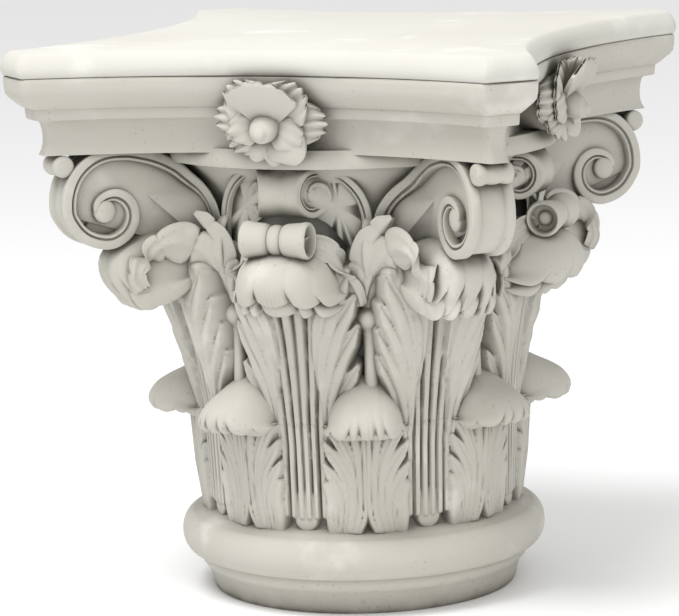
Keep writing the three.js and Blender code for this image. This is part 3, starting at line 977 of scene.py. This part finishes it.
def corner_rolls():
    """The small spool between each big scroll and the abacus corner."""
    profile = [[0.4, -14], [5.5, -13.6], [7.2, -12.2], [7.6, -9], [6.6, -5], [6.9, -4], [7.3, 0], [6.9, 4],
               [6.6, 5], [7.6, 9], [7.2, 12.2], [5.5, 13.6], [0.4, 14]]
    return body("corner_rolls", [lathe(smooth_curve(profile, 60), 36, out=223, height=320, lying=True)])


# ---- Fleuron -------------------------------------------------------------------------------

FLOWER_OUT = 150
FLOWER_HEIGHT = 352


def petal(angle, length, width, lift, ribs, curl, lobes=3, rise=8.0):
    """One petal that spreads from the flower's middle; the tip bends by curl."""
    rows, columns = 34, 33
    along = np.linspace(0, 1, rows)[:, None]
    across = np.linspace(-1, 1, columns)[None]
    spread = width * (0.35 + 0.65 * np.sin(along * 1.75)) * (1 - 0.18 * along ** 6)
    scallop = 1 - 0.09 * (1 - np.abs(np.cos(across * math.pi * lobes / 2))) * along ** 2
    reach = length * along * scallop * (1 - 0.34 * np.abs(across) ** 2.6 * along)
    side = spread * across
    fan = 0.9 * ribs * np.cos(across * math.pi * lobes) * along * (1 - 0.3 * along)
    out = FLOWER_OUT + lift + rise * np.sin(along * 2.2) - curl * along ** 3 - 3.0 * across ** 2 * along + fan
    a = math.radians(angle)
    x = reach * math.sin(a) + side * math.cos(a)
    z = FLOWER_HEIGHT + reach * math.cos(a) - side * math.sin(a)
    front = place(out, x, z)
    back = place(out - 4.2 + 2.4 * along ** 2, x, z)
    return shell(front, back)


def flowers():
    """The flower on the middle of each abacus face: eleven petals and a drooping core."""
    petals = [petal(4, 30, 27, 13, 0.8, -7, 5, 11), petal(50, 37, 19, 7, 1.2, -2, 5, 8),
              petal(92, 41, 17, 3, 1.5, 6, 5), petal(136, 36, 17, 5, 0.3, 0, 1, 9),
              petal(172, 30, 12, 3, 0.4, 1, 1), petal(204, 29, 12, 2, 0.4, 1, 1),
              petal(240, 34, 16, 3, 1.5, 3, 5), petal(274, 41, 18, 3, 1.5, 6, 5),
              petal(314, 37, 18, 6, 1.2, -2, 5, 8), petal(118, 30, 13, 9, 1.0, 2, 3),
              petal(256, 29, 13, 8, 1.2, 2, 3)]
    core = [[0.3, -34], [20, -33], [23, -12], [21, 3], [15, 7], [11.5, 9], [10.6, 13], [9.6, 18], [7.6, 22.6],
            [5, 24.4], [4.4, 25.4], [3.4, 27], [0.3, 27.6]]
    angle = np.linspace(0, 2 * np.pi, 40, endpoint=False)
    rows = []
    for radius, rise in smooth_curve(core, 70):
        droop = -0.3 * max(rise - 4, 0)
        height = FLOWER_HEIGHT + droop + 0.95 * radius * np.cos(angle)
        rows.append(place(FLOWER_OUT + rise, radius * np.sin(angle), height))
    return body("flowers", petals + [tube(np.stack(rows))])


# ---- The pieces in their places ------------------------------------------------------------

piece("base_and_bell", base_and_bell())
piece("abacus", abacus())
piece("top_plate", top_plate(), material=PLATE_STONE, node="top_plate")
piece("lower_leaves", lower_carving(), keep=0.7)
piece("tall_leaves", upper_carving(), keep=0.7)
piece("lower_leaf_tips", lower_hoods(), 8, LOWER_LEAF_START, keep=0.6)
piece("face_leaf_tips", face_hoods(), 4, FACE_START, keep=0.6)
piece("corner_leaf_tips", corner_hoods(), 4, CORNER_START, keep=0.6)
piece("corner_scrolls", scrolls("corner_scrolls", BIG, big_strap), 4, CORNER_START, keep=0.5)
piece("face_scrolls", scrolls("face_scrolls", SMALL, small_strap), 4, FACE_START, keep=0.5)
piece("stalks", stalks(), 4, FACE_START, keep=0.5)
piece("corner_calyx_leaves", calyx_leaves(), 4, CORNER_START, keep=0.4)
piece("face_calyx_leaves", small_calyx_leaves(), 4, FACE_START, keep=0.45)
piece("face_rolls", face_rolls(), 4, FACE_START)
piece("corner_rolls", corner_rolls(), 4, CORNER_START)
piece("flowers", flowers(), 4, FACE_START, keep=0.4)


# ---- Stage ---------------------------------------------------------------------------------

SURROUND_LIGHT = 0.82


def stage_floor():
    mesh = bpy.data.meshes.new("floor")
    mesh.from_pydata([(-6, -6, 0), (6, -6, 0), (6, 6, 0), (-6, 6, 0)], [], [(0, 1, 2, 3)])
    floor = bpy.data.objects.new("floor", mesh)
    bpy.context.collection.objects.link(floor)
    material = bpy.data.materials.new("pale floor")
    material.use_nodes = True
    shader = material.node_tree.nodes["Principled BSDF"]
    shader.inputs["Base Color"].default_value = (0.93, 0.93, 0.93, 1)
    shader.inputs["Roughness"].default_value = 0.9
    mesh.materials.append(material)


def soft_light(name, place_at, target, size, power):
    lamp = bpy.data.lights.new(name, "AREA")
    lamp.shape = "DISK"
    lamp.size = size
    lamp.energy = power
    holder = bpy.data.objects.new(name, lamp)
    bpy.context.collection.objects.link(holder)
    holder.location = place_at
    holder.rotation_euler = (Vector(target) - Vector(place_at)).to_track_quat("-Z", "Y").to_euler()


def studio():
    """A white surround that lights less than it shows, a high soft key and a weak fill."""
    world = bpy.data.worlds.new("studio")
    world.use_nodes = True
    nodes, link = world.node_tree.nodes, world.node_tree.links.new
    seen = nodes.new("ShaderNodeBackground")
    mix = nodes.new("ShaderNodeMixShader")
    path = nodes.new("ShaderNodeLightPath")
    nodes["Background"].inputs["Color"].default_value = (1, 1, 1, 1)
    nodes["Background"].inputs["Strength"].default_value = SURROUND_LIGHT
    seen.inputs["Color"].default_value = (1, 1, 1, 1)
    link(path.outputs["Is Camera Ray"], mix.inputs["Fac"])
    link(nodes["Background"].outputs[0], mix.inputs[1])
    link(seen.outputs[0], mix.inputs[2])
    link(mix.outputs[0], nodes["World Output"].inputs["Surface"])
    bpy.context.scene.world = world
    middle = (0, 0, 0.2)
    soft_light("key light", (-0.35, -0.95, 2.4), middle, 1.3, 46)
    soft_light("fill light", (1.5, -1.9, 1.0), middle, 1.6, 9)
    bpy.context.scene.view_settings.view_transform = "Standard"


def camera():
    """The view a little above the rim, turned about a quarter of a right angle."""
    turn, pitch, roll = math.radians(21.28), math.radians(9.52), math.radians(-1.72)
    ahead = Vector((-math.sin(turn) * math.cos(pitch), math.cos(turn) * math.cos(pitch), -math.sin(pitch)))
    right = Vector((math.cos(turn), math.sin(turn), 0))
    up = right.cross(ahead)
    level_right = right * math.cos(roll) + up * math.sin(roll)
    level_up = up * math.cos(roll) - right * math.sin(roll)
    data = bpy.data.cameras.new("camera")
    data.lens = 179.95
    data.sensor_width = 36
    holder = bpy.data.objects.new("camera", data)
    bpy.context.collection.objects.link(holder)
    turned_to = Matrix((level_right, level_up, -ahead)).transposed().to_4x4()
    holder.matrix_world = Matrix.Translation((0.8657, -2.2588, 0.605)) @ turned_to
    bpy.context.scene.camera = holder


stage_floor()
studio()
camera()
